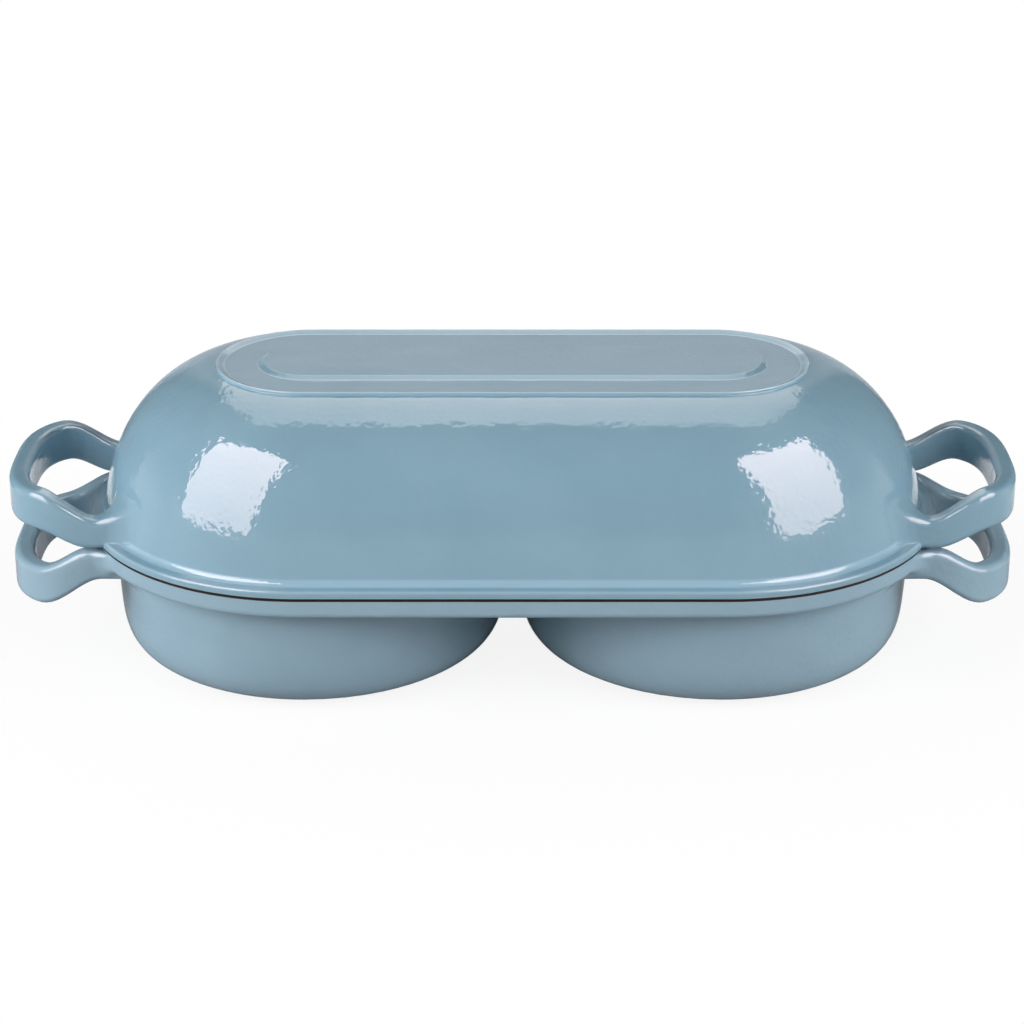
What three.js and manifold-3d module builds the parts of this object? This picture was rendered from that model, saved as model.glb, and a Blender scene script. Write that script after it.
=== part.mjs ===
// A double dutch oven in enamelled cast iron: a pan with two round wells side by side, and one
// long domed lid that covers both. Each casting carries a loop handle at either end; the lid's
// loops rise and the pan's loops dip, so that fingers fit between them.
// Millimetres, +Z up, +X along the length. The origin is on the table, under the middle.

import * as THREE from 'three';
import { mergeVertices } from 'three/addons/utils/BufferGeometryUtils.js';
import Module from 'manifold-3d';

// Plan: both castings are struck from the centres of the two wells
const WELL_RADIUS = 102; // outside of a well, just under the flange
const WELL_SPACING = 2; // between the two wells' outsides
const FLANGE_OVERHANG = 10.7; // of the pan's flange past the wells
const LID_OVERHANG = 0.8; // of the lid's rim past the flange
const WALL = 4.2; // cast wall of the wells and the dome

// Pan
const PAN_HEIGHT = 69; // from the table to the land that the lid rests on
const FLANGE_THICKNESS = 10;
const FLANGE_ROUND = 3; // lower edge of the flange
const FLANGE_FILLET = 5; // from a well's wall into the flange
const WELL_DRAFT = 10.7; // degrees
const WELL_FLOOR_RADIUS = 66; // flat patch that a well stands on
const WELL_WALL_PULL = 36; // how far the wall stays straight before it bends
const WELL_FLOOR_PULL = 42; // how far the bend runs out along the floor
const WELL_BROW = 4; // rounded top edge inside a well

// Seat between the castings
const SEAT_GAP = 0.3; // the lid over the pan
const SEAM_EDGE = 0.8; // broken edge of both lands, outside
const LAND_WIDTH = 6.7; // flat ring that carries the lid
const LIP_DEPTH = 4; // of the lid's locating lip below the land
const LIP_CLEARANCE = 1; // around the lip

// Lid, heights above its own land
const RIM_OVERHANG = 8.1; // of the lid's rim past the dome
const RIM_FACE = 4.4;
const RIM_ROUND = 1.5;
const DOME_FILLET = 4; // from the rim into the dome
const DOME_DRAFT = 7.5; // degrees
const DOME_WALL_PULL = 44;
const SHOULDER_HEIGHT = 78.5; // where the dome meets the plateau
const SHOULDER_TILT = 9; // degrees
const SHOULDER_PULL = 29;
const PLATEAU_RADIUS = 46.4; // crest of the raised top
const PLATEAU_WALL_RUN = 1.2; // its wall is this much wider at the foot
const PLATEAU_WALL_RISE = 2.1;
const PLATEAU_ROUND = 1.2;
const BORDER_WIDTH = 4; // slope from the crest down to the sunk floor
const BORDER_DEPTH = 1.5;
const PANEL_RADIUS = 22.2; // raised middle panel
const PANEL_RISE = 1.5;
const PANEL_SLOPE = 3;

// Handles
const HANDLE_REACH = 38; // past the end of the rim
const HANDLE_WIDTH = 110; // outside, across both arms
const HANDLE_CORNER = 36; // outside
const HANDLE_SWEEP = 31; // length over which an arm climbs or dips
const HANDLE_SAG = 6; // its edge nearest the seam sets off this much later
const STRAP_THICKNESS = 10.4;
const STRAP_HEIGHT = 20.2; // at the outer end
const STRAP_ROUND = 3.4;
const SEAM_TO_LID_ARM = 0.4;
const LID_ARM_HEIGHT = 14.9; // of the strap where it leaves the rim
const LID_HANDLE_CLIMB = 8.8; // of the strap's edge nearest the seam
const LID_ROOT_FLARE = 8; // where an arm spreads into the dome
const SEAM_TO_PAN_ARM = 1;
const PAN_ARM_HEIGHT = 15.3;
const PAN_HANDLE_DIP = 10.2;
const PAN_ROOT_FLARE = 6; // where an arm spreads into the flange

// Fineness
const ARC_STEPS = 21; // in a half turn
const CURVE_STEPS = 10;
const ROUND_STEPS = 3;
const LOOP_STEPS = 44;
const CUT_PAST = 3; // how far a cutter runs past what it cuts

const ENAMEL = { color: 0x8fafc0, roughness: 0.16, metalness: 0 };

// Worked out from the sizes above
const SPINE = WELL_RADIUS + WELL_SPACING / 2;
const FLANGE_RADIUS = WELL_RADIUS + FLANGE_OVERHANG;
const RIM_RADIUS = FLANGE_RADIUS + LID_OVERHANG;
const RECESS_RADIUS = FLANGE_RADIUS - LAND_WIDTH;
const DECK = PAN_HEIGHT - FLANGE_THICKNESS + WALL; // top of the web that joins the wells

const wasm = await Module();
wasm.setup();

const radians = THREE.MathUtils.degToRad;
const point = (r, z) => new THREE.Vector2(r, z);

// A solid from a geometry: corners that fall together are merged and flat slivers dropped.
function solid(geometry) {
  geometry.deleteAttribute('normal');
  geometry.deleteAttribute('uv');
  const merged = mergeVertices(geometry);
  const corners = merged.index.array;
  const kept = [];
  for (let i = 0; i < corners.length; i += 3) {
    const [a, b, c] = corners.slice(i, i + 3);
    if (a !== b && b !== c && c !== a) kept.push(a, b, c);
  }
  const mesh = new wasm.Mesh({
    numProp: 3,
    vertProperties: new Float32Array(merged.attributes.position.array),
    triVerts: new Uint32Array(kept),
  });
  return new wasm.Manifold(mesh);
}

// Rows of corners, each row as long as the next, joined into one skin.
function skin(rows, closeRows) {
  const across = rows[0].length;
  const index = [];
  const last = closeRows ? rows.length : rows.length - 1;
  for (let i = 0; i < last; i++) {
    const here = i * across;
    const next = ((i + 1) % rows.length) * across;
    for (let j = 0; j < across - 1; j++) {
      index.push(here + j, next + j, next + j + 1);
      index.push(here + j, next + j + 1, here + j + 1);
    }
  }
  const geometry = new THREE.BufferGeometry().setFromPoints(rows.flat());
  geometry.setIndex(index);
  return geometry;
}

// A profile of (distance from the spine, height) swept round the long oval: a half turn about
// each well's centre, with straight runs between. The profile starts and ends on the spine.
function sweepOval(profile) {
  const rows = [];
  for (const [centre, start] of [[SPINE, -90], [-SPINE, 90]]) {
    for (let i = 0; i <= ARC_STEPS; i++) {
      const turn = radians(start + 180 * i / ARC_STEPS);
      rows.push(profile.map(({ x, y }) => new THREE.Vector3(
        centre + x * Math.cos(turn), x * Math.sin(turn), y)));
    }
  }
  return solid(skin(rows, true));
}

// A profile of (radius, height) turned about the axis of each well.
function turnWells(profile) {
  const [left, right] = [-SPINE, SPINE].map((x) => {
    const lathe = new THREE.LatheGeometry(profile, 2 * ARC_STEPS);
    return solid(lathe.rotateX(Math.PI / 2).translate(x, 0, 0));
  });
  return left.add(right);
}

// Points of a curve moved to its left by a distance.
function offset(curve, distance) {
  return Array.from({ length: CURVE_STEPS + 1 }, (_, i) => {
    const along = curve.getTangent(i / CURVE_STEPS);
    return curve.getPoint(i / CURVE_STEPS).add(point(-along.y, along.x).multiplyScalar(distance));
  });
}

// A round stretch of a profile, from one angle to another in degrees.
function arc(r, z, radius, from, to) {
  return Array.from({ length: ROUND_STEPS + 1 }, (_, i) => {
    const turn = radians(from + (to - from) * i / ROUND_STEPS);
    return point(r + radius * Math.cos(turn), z + radius * Math.sin(turn));
  });
}

// A leaning wall that rolls outwards into a level face: the height where the wall ends, and the
// quarter round that follows.
const rollStart = (level, radius, lean) => level - radius * (1 - Math.sin(radians(lean)));
const rollOut = (wall, level, radius, lean) => arc(
  wall + radius * Math.cos(radians(lean)), level - radius, radius, 180 - lean, 90);

// The outside of a well, from the edge of its floor up to the flange's fillet.
function wellCurve() {
  const lean = radians(WELL_DRAFT);
  const flangeBottom = PAN_HEIGHT - FLANGE_THICKNESS;
  const foot = point(WELL_FLOOR_RADIUS, 0);
  const top = point(WELL_RADIUS, rollStart(flangeBottom, FLANGE_FILLET, WELL_DRAFT));
  return new THREE.CubicBezierCurve(
    foot,
    foot.clone().add(point(WELL_FLOOR_PULL, 0)),
    top.clone().sub(point(Math.sin(lean), Math.cos(lean)).multiplyScalar(WELL_WALL_PULL)),
    top,
  );
}

function wellOutside() {
  const flangeBottom = PAN_HEIGHT - FLANGE_THICKNESS;
  const insideFlange = PAN_HEIGHT - FLANGE_THICKNESS / 2;
  const fillet = rollOut(WELL_RADIUS, flangeBottom, FLANGE_FILLET, WELL_DRAFT);
  const edge = fillet.at(-1).x;
  return turnWells([point(0, 0), ...wellCurve().getPoints(CURVE_STEPS), ...fillet.slice(1),
    point(edge, insideFlange), point(0, insideFlange)]);
}

function wellInside() {
  const wall = offset(wellCurve(), WALL);
  const top = wall.at(-1);
  const climb = rollStart(DECK, WELL_BROW, WELL_DRAFT) - top.y;
  const mouth = top.x + climb * Math.tan(radians(WELL_DRAFT));
  const brow = rollOut(mouth, DECK, WELL_BROW, WELL_DRAFT);
  const above = PAN_HEIGHT + CUT_PAST;
  return turnWells([point(0, WALL), ...wall, ...brow, point(brow.at(-1).x, above), point(0, above)]);
}

function flange() {
  const bottom = PAN_HEIGHT - FLANGE_THICKNESS;
  return sweepOval([
    point(0, bottom),
    ...arc(FLANGE_RADIUS - FLANGE_ROUND, bottom + FLANGE_ROUND, FLANGE_ROUND, -90, 0),
    ...arc(FLANGE_RADIUS - SEAM_EDGE, PAN_HEIGHT - SEAM_EDGE, SEAM_EDGE, 0, 90),
    point(0, PAN_HEIGHT),
  ]);
}

function deckRecess() {
  const above = PAN_HEIGHT + CUT_PAST;
  return sweepOval([point(0, DECK), point(RECESS_RADIUS, DECK), point(RECESS_RADIUS, above),
    point(0, above)]);
}

// The outside of the dome, from the top of the rim's fillet to the foot of the plateau.
function domeCurve() {
  const lean = radians(DOME_DRAFT);
  const tilt = radians(SHOULDER_TILT);
  const foot = point(RIM_RADIUS - RIM_OVERHANG, RIM_FACE + DOME_FILLET * (1 - Math.sin(lean)));
  const shoulder = point(PLATEAU_RADIUS + PLATEAU_WALL_RUN, SHOULDER_HEIGHT);
  return new THREE.CubicBezierCurve(
    foot,
    foot.clone().add(point(-Math.sin(lean), Math.cos(lean)).multiplyScalar(DOME_WALL_PULL)),
    shoulder.clone().add(point(Math.cos(tilt), -Math.sin(tilt)).multiplyScalar(SHOULDER_PULL)),
    shoulder,
  );
}

// The raised top: a crest all round, a sunk floor inside it and a raised panel in the middle.
function plateau() {
  const crest = SHOULDER_HEIGHT + PLATEAU_WALL_RISE;
  const floor = crest - BORDER_DEPTH;
  const wallSlope = THREE.MathUtils.radToDeg(Math.atan2(PLATEAU_WALL_RISE, PLATEAU_WALL_RUN));
  const borderSlope = THREE.MathUtils.radToDeg(Math.atan2(BORDER_DEPTH, BORDER_WIDTH));
  return [
    ...arc(PLATEAU_RADIUS - PLATEAU_ROUND, crest - PLATEAU_ROUND, PLATEAU_ROUND,
      90 - wallSlope, 90 + borderSlope),
    point(PLATEAU_RADIUS - BORDER_WIDTH, floor),
    point(PANEL_RADIUS + PANEL_SLOPE, floor),
    point(PANEL_RADIUS, floor + PANEL_RISE),
    point(0, floor + PANEL_RISE),
  ];
}

function lidOutside() {
  const lipRadius = RECESS_RADIUS - LIP_CLEARANCE;
  const filletR = RIM_RADIUS - RIM_OVERHANG + DOME_FILLET * Math.cos(radians(DOME_DRAFT));
  return sweepOval([
    point(0, -LIP_DEPTH),
    point(lipRadius, -LIP_DEPTH),
    point(lipRadius, 0),
    ...arc(RIM_RADIUS - SEAM_EDGE, SEAM_EDGE, SEAM_EDGE, -90, 0),
    ...arc(RIM_RADIUS - RIM_ROUND, RIM_FACE - RIM_ROUND, RIM_ROUND, 0, 90),
    ...arc(filletR, RIM_FACE + DOME_FILLET, DOME_FILLET, 270, 180 + DOME_DRAFT),
    ...domeCurve().getPoints(CURVE_STEPS).slice(1),
    ...plateau(),
  ]);
}

function lidInside() {
  const wall = offset(domeCurve(), WALL);
  const below = -LIP_DEPTH - CUT_PAST;
  return sweepOval([point(0, below), point(wall[0].x, below), ...wall, point(0, wall.at(-1).y)]);
}

// A strap's upright section: a box with rounded corners, as (across, up) points.
function strapSection(thickness, bottom, top) {
  const across = thickness / 2 - STRAP_ROUND;
  const ring = [[1, top, 0], [-1, top, 90], [-1, bottom, 180], [1, bottom, 270]].flatMap(
    ([side, edge, turn]) => {
      const inset = edge === top ? -STRAP_ROUND : STRAP_ROUND;
      return arc(side * across, edge + inset, STRAP_ROUND, turn, turn + 90);
    });
  return [...ring, ring[0]];
}

// Plan of a loop's middle line: out along one arm, round the end and back along the other.
function loopPlan(rootFlare) {
  const half = STRAP_THICKNESS / 2;
  const end = SPINE + RIM_RADIUS + HANDLE_REACH - half;
  const side = HANDLE_WIDTH / 2 - half;
  const bend = HANDLE_CORNER - half;
  const spread = side + half + rootFlare;
  const root = SPINE + Math.sqrt((WELL_RADIUS - WALL) ** 2 - spread ** 2) - CUT_PAST;
  return new THREE.Path()
    .moveTo(root, -side)
    .lineTo(end - bend, -side)
    .absarc(end - bend, bend - side, bend, -Math.PI / 2, 0)
    .lineTo(end, side - bend)
    .absarc(end - bend, side - bend, bend, 0, Math.PI / 2)
    .lineTo(root, side);
}

// Where an arm's middle line crosses an oval of the given radius.
function armMeets(radius) {
  const side = (HANDLE_WIDTH - STRAP_THICKNESS) / 2;
  return SPINE + Math.sqrt(radius ** 2 - side ** 2);
}

// One loop handle at the +X end. The strap leaves the rim near the seam and sweeps away from it,
// upwards for the lid and downwards for the pan. Near the wall that it grows from, it spreads
// by a quarter round to both sides, and on the lid away from the seam too.
function loop({ seamEdge, away, armHeight, sweep, wallRadius, rootFlare, flareAway }) {
  const { clamp, lerp, smoothstep } = THREE.MathUtils;
  const plan = loopPlan(rootFlare);
  const rim = armMeets(RIM_RADIUS);
  const wall = armMeets(wallRadius);
  const rows = [];
  for (let i = 0; i <= LOOP_STEPS; i++) {
    const at = plan.getPointAt(i / LOOP_STEPS);
    const along = plan.getTangentAt(i / LOOP_STEPS);
    const close = clamp(1 - (at.x - wall) / rootFlare, 0, 1);
    const flare = rootFlare * (1 - Math.sqrt(1 - close * close));
    const near = sweep * smoothstep(at.x - rim, HANDLE_SAG, HANDLE_SWEEP);
    const swept = smoothstep(at.x - rim, 0, HANDLE_SWEEP);
    const far = lerp(armHeight, sweep + STRAP_HEIGHT, swept) + flare * flareAway;
    const edges = [seamEdge + away * near, seamEdge + away * far];
    const section = strapSection(STRAP_THICKNESS + 2 * flare, Math.min(...edges), Math.max(...edges));
    rows.push(section.map(({ x, y }) => new THREE.Vector3(
      at.x + along.y * x, at.y - along.x * x, y)));
  }
  const ends = [rows[0], rows[LOOP_STEPS]].map((row) => {
    const middle = row[0].clone().lerp(row[row.length >> 1], 0.5);
    return row.map(() => middle);
  });
  return solid(skin([ends[0], ...rows, ends[1]], false));
}

function bothLoops(shape) {
  const right = loop(shape);
  return right.add(right.rotate([0, 0, 180]));
}

function panSolid() {
  const loops = bothLoops({
    seamEdge: PAN_HEIGHT - SEAM_TO_PAN_ARM,
    away: -1,
    armHeight: PAN_ARM_HEIGHT,
    sweep: PAN_HANDLE_DIP,
    wallRadius: FLANGE_RADIUS,
    rootFlare: PAN_ROOT_FLARE,
    flareAway: 0,
  });
  return flange().add(wellOutside()).add(loops).subtract(deckRecess()).subtract(wellInside());
}

function lidSolid() {
  const loops = bothLoops({
    seamEdge: SEAM_TO_LID_ARM,
    away: 1,
    armHeight: LID_ARM_HEIGHT,
    sweep: LID_HANDLE_CLIMB,
    wallRadius: RIM_RADIUS - RIM_OVERHANG,
    rootFlare: LID_ROOT_FLARE,
    flareAway: 1,
  });
  return lidOutside().add(loops).subtract(lidInside());
}

function mesh(name, body) {
  const { vertProperties, triVerts } = body.getMesh();
  const geometry = new THREE.BufferGeometry();
  geometry.setAttribute('position', new THREE.BufferAttribute(vertProperties, 3));
  geometry.setIndex(new THREE.BufferAttribute(triVerts, 1));
  geometry.computeVertexNormals();
  const made = new THREE.Mesh(geometry, new THREE.MeshStandardMaterial(ENAMEL));
  made.name = name;
  return made;
}

const oven = new THREE.Group();
const pan = mesh('pan', panSolid());
const lid = mesh('lid', lidSolid());
lid.position.z = PAN_HEIGHT + SEAT_GAP;
oven.add(pan, lid);

export default oven;
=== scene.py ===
# %% [markdown]
# # A double dutch oven in enamelled cast iron
#
# The real object is two iron castings under one glassy coat. The pan has two round wells side by
# side under a shared flange, and one long domed lid covers both. Each casting carries a loop
# handle at either end: the lid's loops rise and the pan's loops dip, so that fingers fit between.
#
# The packed model is the fixed frame of this scene. Its two solids are coarse, as solids for
# physics should be. We could smooth them with a modifier, but that would also soften the crisp
# edges of the rim. So each casting is drawn again as fine surfaces worked out with numpy, in the
# same place and, but for a few small rounds, to the same sizes. It then takes its solid's place.

import bmesh
import bpy
import numpy as np
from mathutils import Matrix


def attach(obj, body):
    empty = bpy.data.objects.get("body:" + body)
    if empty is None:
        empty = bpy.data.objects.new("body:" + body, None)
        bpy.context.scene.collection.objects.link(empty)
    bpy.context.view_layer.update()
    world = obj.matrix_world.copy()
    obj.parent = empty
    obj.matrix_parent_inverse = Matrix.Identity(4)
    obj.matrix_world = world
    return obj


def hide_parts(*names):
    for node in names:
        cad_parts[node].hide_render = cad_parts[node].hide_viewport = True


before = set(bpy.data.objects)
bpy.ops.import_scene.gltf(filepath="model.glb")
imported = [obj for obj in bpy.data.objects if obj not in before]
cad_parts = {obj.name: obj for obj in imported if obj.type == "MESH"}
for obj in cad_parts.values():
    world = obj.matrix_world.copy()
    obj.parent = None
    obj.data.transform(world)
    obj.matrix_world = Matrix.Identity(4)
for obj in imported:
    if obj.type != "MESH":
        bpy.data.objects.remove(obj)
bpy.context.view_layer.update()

# %% [markdown]
# ## Curves for the outlines
#
# A pattern maker draws a casting as an outline: distance from the middle against height. Here that
# is an array of points in millimetres, put together from a few kinds of curve. Spline objects could
# do this too, but with arrays we can ask for normals later, when a wall gets its thickness.

# %% Curves for the outlines
CURVE_STEPS = 900


def cubic(a, b, c, d):
    """Four points weighted by (1-t)^3, 3t(1-t)^2, 3t^2(1-t) and t^3, with t going from 0 to 1."""
    t = np.linspace(0, 1, CURVE_STEPS + 1)[:, None]
    return (1 - t) ** 3 * a + 3 * t * (1 - t) ** 2 * b + 3 * t**2 * (1 - t) * c + t**3 * d


def round_arc(centre, radius, start, stop, steps):
    """Centre plus radius times (cos, sin), the degrees going evenly from start to stop."""
    angle = np.radians(np.linspace(start, stop, steps + 1))
    return np.asarray(centre, float) + radius * np.stack([np.cos(angle), np.sin(angle)], axis=-1)


def left_of(line):
    """Unit normals on the left of a line: the step from the point before to the point after,
    turned by a quarter."""
    along = np.gradient(line, axis=0)
    along /= np.linalg.norm(along, axis=1, keepdims=True)
    return np.stack([-along[:, 1], along[:, 0]], axis=-1)


def softened(corners, radii, steps=5, support=0.3):
    """A broken line with its inner corners rounded. The round starts and stops at radius / tan of
    half the angle from the corner, and is pulled towards it by weights (1-t)^2, 2t(1-t) and t^2.
    One more point before and after keeps the flats flat when the surface is shaded smooth."""
    p = np.asarray(corners, float)
    back, ahead = p[:-2] - p[1:-1], p[2:] - p[1:-1]
    back /= np.linalg.norm(back, axis=1, keepdims=True)
    ahead /= np.linalg.norm(ahead, axis=1, keepdims=True)
    half = np.arccos(np.clip((back * ahead).sum(1), -1, 1)) / 2
    reach = (np.asarray(radii) / np.tan(half))[:, None]
    start, stop = p[1:-1] + back * reach, p[1:-1] + ahead * reach
    t = np.linspace(0, 1, steps + 1)[:, None, None]
    bend = (1 - t) ** 2 * start + 2 * t * (1 - t) * p[1:-1] + t**2 * stop
    bend = np.concatenate([(start + back * support)[None], bend, (stop + ahead * support)[None]])
    return np.concatenate([p[:1], bend.transpose(1, 0, 2).reshape(-1, 2), p[-1:]])


def respaced(line, gap):
    """The same line with new points, about gap apart, where gap holds a distance for each old
    point: the running sum of length / gap is cut into equal steps."""
    length = np.linalg.norm(np.diff(line, axis=0), axis=1)
    run = np.concatenate([[0], np.cumsum(length / ((gap[1:] + gap[:-1]) / 2))])
    at = np.linspace(0, run[-1], int(np.ceil(run[-1])) + 1)
    return np.stack([np.interp(at, run, line[:, 0]), np.interp(at, run, line[:, 1])], axis=-1)


def leaning(degrees):
    """The (across, up) direction of a wall that leans outwards by this angle as it rises: its sine
    and its cosine."""
    return np.array([np.sin(np.radians(degrees)), np.cos(np.radians(degrees))])


print("a softened corner has", len(softened([(0, 0), (5, 0), (5, 5)], [1])) - 2, "points")

# %% [markdown]
# ## The lid's outline
#
# From the middle outwards: a raised panel, a sunk floor, a border that climbs to a crest, the
# plateau's short wall, a broad shoulder, a dome that gets steeper, a hollow fillet and a narrow
# rim. Underneath are the flat land that rests on the pan, a lip that keeps the lid in place, and
# the inside of the dome one wall thickness in. It could be traced by hand as one curve. Put
# together from named sizes, it follows when a size changes. Heights are above the lid's own land.

# %% The lid's outline
RIM_RADIUS, SEAM_EDGE, WALL = 113.5, 0.8, 4.2
RIM_OVERHANG, RIM_FACE, RIM_ROUND, COAT_END = 8.1, 4.4, 1.5, 1.8
DOME_FILLET, DOME_DRAFT, DOME_WALL_PULL = 3.4, 7.5, 44
SHOULDER_HEIGHT, SHOULDER_TILT, SHOULDER_PULL, SHOULDER_ROUND = 78.9, 9, 29, 0.4
PLATEAU_RADIUS, PLATEAU_WALL_RUN, PLATEAU_WALL_RISE, PLATEAU_ROUND = 46.3, 0.2, 1.7, 0.5
BORDER_WIDTH, BORDER_DEPTH, BORDER_ROUND = 4, 1.5, 2.4
PANEL_RADIUS, PANEL_RISE, PANEL_SLOPE, PANEL_ROUNDS = 22.2, 1.5, 3, (1.6, 1.8)
LIP_RADIUS, LIP_DEPTH, LIP_ROUNDS = 105, 4, (0.6, 0.8, 1.2)
DOME_LOW, DOME_GAP_LOW, DOME_GAP, INSIDE_GAP = 34, 0.85, 1.7, 3.0

crest = SHOULDER_HEIGHT + PLATEAU_WALL_RISE
sunk_floor = crest - BORDER_DEPTH
foot = np.array([RIM_RADIUS - RIM_OVERHANG,
                 RIM_FACE + DOME_FILLET * (1 - np.sin(np.radians(DOME_DRAFT)))])
shoulder = np.array([PLATEAU_RADIUS + PLATEAU_WALL_RUN, SHOULDER_HEIGHT])
dome = cubic(shoulder, shoulder + SHOULDER_PULL * leaning(90 + SHOULDER_TILT),
             foot + DOME_WALL_PULL * leaning(-DOME_DRAFT), foot)
ceiling = dome - WALL * left_of(dome)
dome = respaced(dome, np.where(dome[:, 1] < DOME_LOW, DOME_GAP_LOW, DOME_GAP))
ceiling = respaced(ceiling, np.full(len(ceiling), INSIDE_GAP))[::-1]

wall_slope = np.degrees(np.arctan2(PLATEAU_WALL_RISE, PLATEAU_WALL_RUN))
border_slope = np.degrees(np.arctan2(BORDER_DEPTH, BORDER_WIDTH))
brink = round_arc((PLATEAU_RADIUS - PLATEAU_ROUND, crest - PLATEAU_ROUND), PLATEAU_ROUND,
                  90 + border_slope, 90 - wall_slope, 8)
plateau = np.concatenate([
    softened([(0, crest), (PANEL_RADIUS, sunk_floor + PANEL_RISE),
              (PANEL_RADIUS + PANEL_SLOPE, sunk_floor),
              (PLATEAU_RADIUS - BORDER_WIDTH, sunk_floor), brink[0]],
             [*PANEL_ROUNDS, BORDER_ROUND]),
    brink[1:-1], softened([brink[-1], shoulder, dome[2]], [SHOULDER_ROUND])])
hollow = round_arc(foot + DOME_FILLET * leaning(90 - DOME_DRAFT), DOME_FILLET,
                   180 + DOME_DRAFT, 270, 10)
rim = np.concatenate([
    softened([hollow[-1], (RIM_RADIUS, RIM_FACE), (RIM_RADIUS, SEAM_EDGE)], [RIM_ROUND])[1:-1],
    [(RIM_RADIUS, COAT_END)]])
lid_skin = np.concatenate([plateau[:-1], dome[2:-1], hollow, rim])
seat = softened(
    [rim[-1], (RIM_RADIUS, 0), (LIP_RADIUS, 0), (LIP_RADIUS, -LIP_DEPTH),
     (ceiling[0, 0], -LIP_DEPTH), ceiling[0]],
    [SEAM_EDGE, *LIP_ROUNDS])[1:-1]
lid_outline = np.concatenate([lid_skin, seat, ceiling, [(0, ceiling[-1, 1])]])
print("lid outline:", len(lid_outline), "points, top at", round(lid_outline[:, 1].max(), 2), "mm")

# %% [markdown]
# ## Round the long oval
#
# In plan both castings are a long oval: a half turn about the centre of each well, and straight
# runs between. A Screw modifier turns an outline about one axis only, so we place it ourselves. A
# station is a place on the oval, held as a middle point and a direction outwards. Stations are
# closer together where the arms of the handles join, so that the wall is smooth there.

# %% Round the long oval
SPINE = 103.0
HANDLE_WIDTH, STRAP_THICKNESS = 110, 10.4
ARM = (HANDLE_WIDTH - STRAP_THICKNESS) / 2
ROOT_RADIUS, ROOT_SPREAD = 109, (13, 18)
FINE_TURN, LID_TURN, LID_RUN_STEPS = 0.6, 2.6, 12


def half_turn(coarse):
    """Angles from -90 to 90 degrees, fine apart where the arms of a handle meet the rim and coarse
    elsewhere: the running sum of 1 / gap is cut into equal steps."""
    angle = np.linspace(-90, 90, 3601)
    beside = np.abs(np.abs(angle) - np.degrees(np.arcsin(ARM / ROOT_RADIUS)))
    gap = np.interp(beside, ROOT_SPREAD, [FINE_TURN, coarse])
    run = np.concatenate([[0], np.cumsum(np.diff(angle) / gap[1:])])
    return np.radians(np.interp(np.linspace(0, run[-1], int(run[-1]) + 1), run, angle))


def oval_stations(angle, steps):
    """Once round the oval: the half turn at the +X end, the straight run to the other end, the
    half turn there and the run back. Outwards is the (cos, sin) of the angle on a turn, and
    straight across on a run."""
    run = np.linspace(SPINE, -SPINE, steps + 1)[1:-1]
    middle = np.concatenate([np.full(len(angle), SPINE), run, np.full(len(angle), -SPINE), -run])
    out_x = np.concatenate([np.cos(angle), 0 * run, -np.cos(angle), 0 * run])
    out_y = np.concatenate([np.sin(angle), 0 * run + 1, -np.sin(angle), 0 * run - 1])
    return middle, out_x, out_y


def sweep_oval(outline, stations):
    """Station middle plus distance times its direction outwards, with the outline's height: one
    row of the grid for each station and one column for each point of the outline."""
    middle, out_x, out_y = [s[:, None] for s in stations]
    across, up = outline[:, 0], outline[:, 1]
    return np.stack([middle + across * out_x, across * out_y, up + 0 * middle], axis=-1)


lid_grid = sweep_oval(lid_outline, oval_stations(half_turn(LID_TURN), LID_RUN_STEPS))
print("lid grid:", lid_grid.shape[0], "stations by", lid_grid.shape[1], "points")

# %% [markdown]
# ## From grids to a closed mesh
#
# A grid of points becomes a mesh when each point is joined to its neighbours by four-sided faces.
# That could be done face by face, but one formula gives the corner numbers of them all. Several
# grids can share one mesh: points that fall together are merged, which closes the seams and the
# poles, and then all faces are turned to look outwards.

# %% From grids to a closed mesh
MM = 0.001
MERGE, SLIVER = 2e-6, 1e-6


def joined(grid, close_rows=False, close_columns=False, first=0):
    """Faces of a grid, as corner numbers: each point with the next in its row, the one across from
    that in the next row, and the next in its column."""
    rows, columns = grid.shape[:2]
    number = first + np.arange(rows * columns).reshape(rows, columns)
    if close_rows:
        number = np.concatenate([number, number[:1]])
    if close_columns:
        number = np.concatenate([number, number[:, :1]], axis=1)
    corners = [number[:-1, :-1], number[1:, :-1], number[1:, 1:], number[:-1, 1:]]
    return np.stack(corners, axis=-1).reshape(-1, 4)


def placed(name, data):
    """A new object of this name in the scene, at the origin."""
    thing = bpy.data.objects.new(name, data)
    bpy.context.scene.collection.objects.link(thing)
    return thing


def casting_mesh(name, grids):
    """One mesh from several grids, each given as (points in mm, close rows, close columns). Points
    closer than MERGE, in metres, become one."""
    first, places, faces = 0, [], []
    for grid, close_rows, close_columns in grids:
        faces.append(joined(grid, close_rows, close_columns, first))
        places.append(grid.reshape(-1, 3))
        first += len(places[-1])
    mesh = bpy.data.meshes.new(name)
    mesh.from_pydata(np.concatenate(places) * MM, [], np.concatenate(faces))
    work = bmesh.new()
    work.from_mesh(mesh)
    bmesh.ops.remove_doubles(work, verts=work.verts, dist=MERGE)
    bmesh.ops.dissolve_degenerate(work, edges=work.edges, dist=SLIVER)
    bmesh.ops.recalc_face_normals(work, faces=work.faces)
    loose = sum(not edge.is_manifold for edge in work.edges)
    work.to_mesh(mesh)
    work.free()
    print(name, "has", len(mesh.polygons), "faces and", loose, "open edges")
    return placed(name, mesh)


print("a grid of 3 by 4 points has", len(joined(np.zeros((3, 4, 3)))), "faces")

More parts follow.
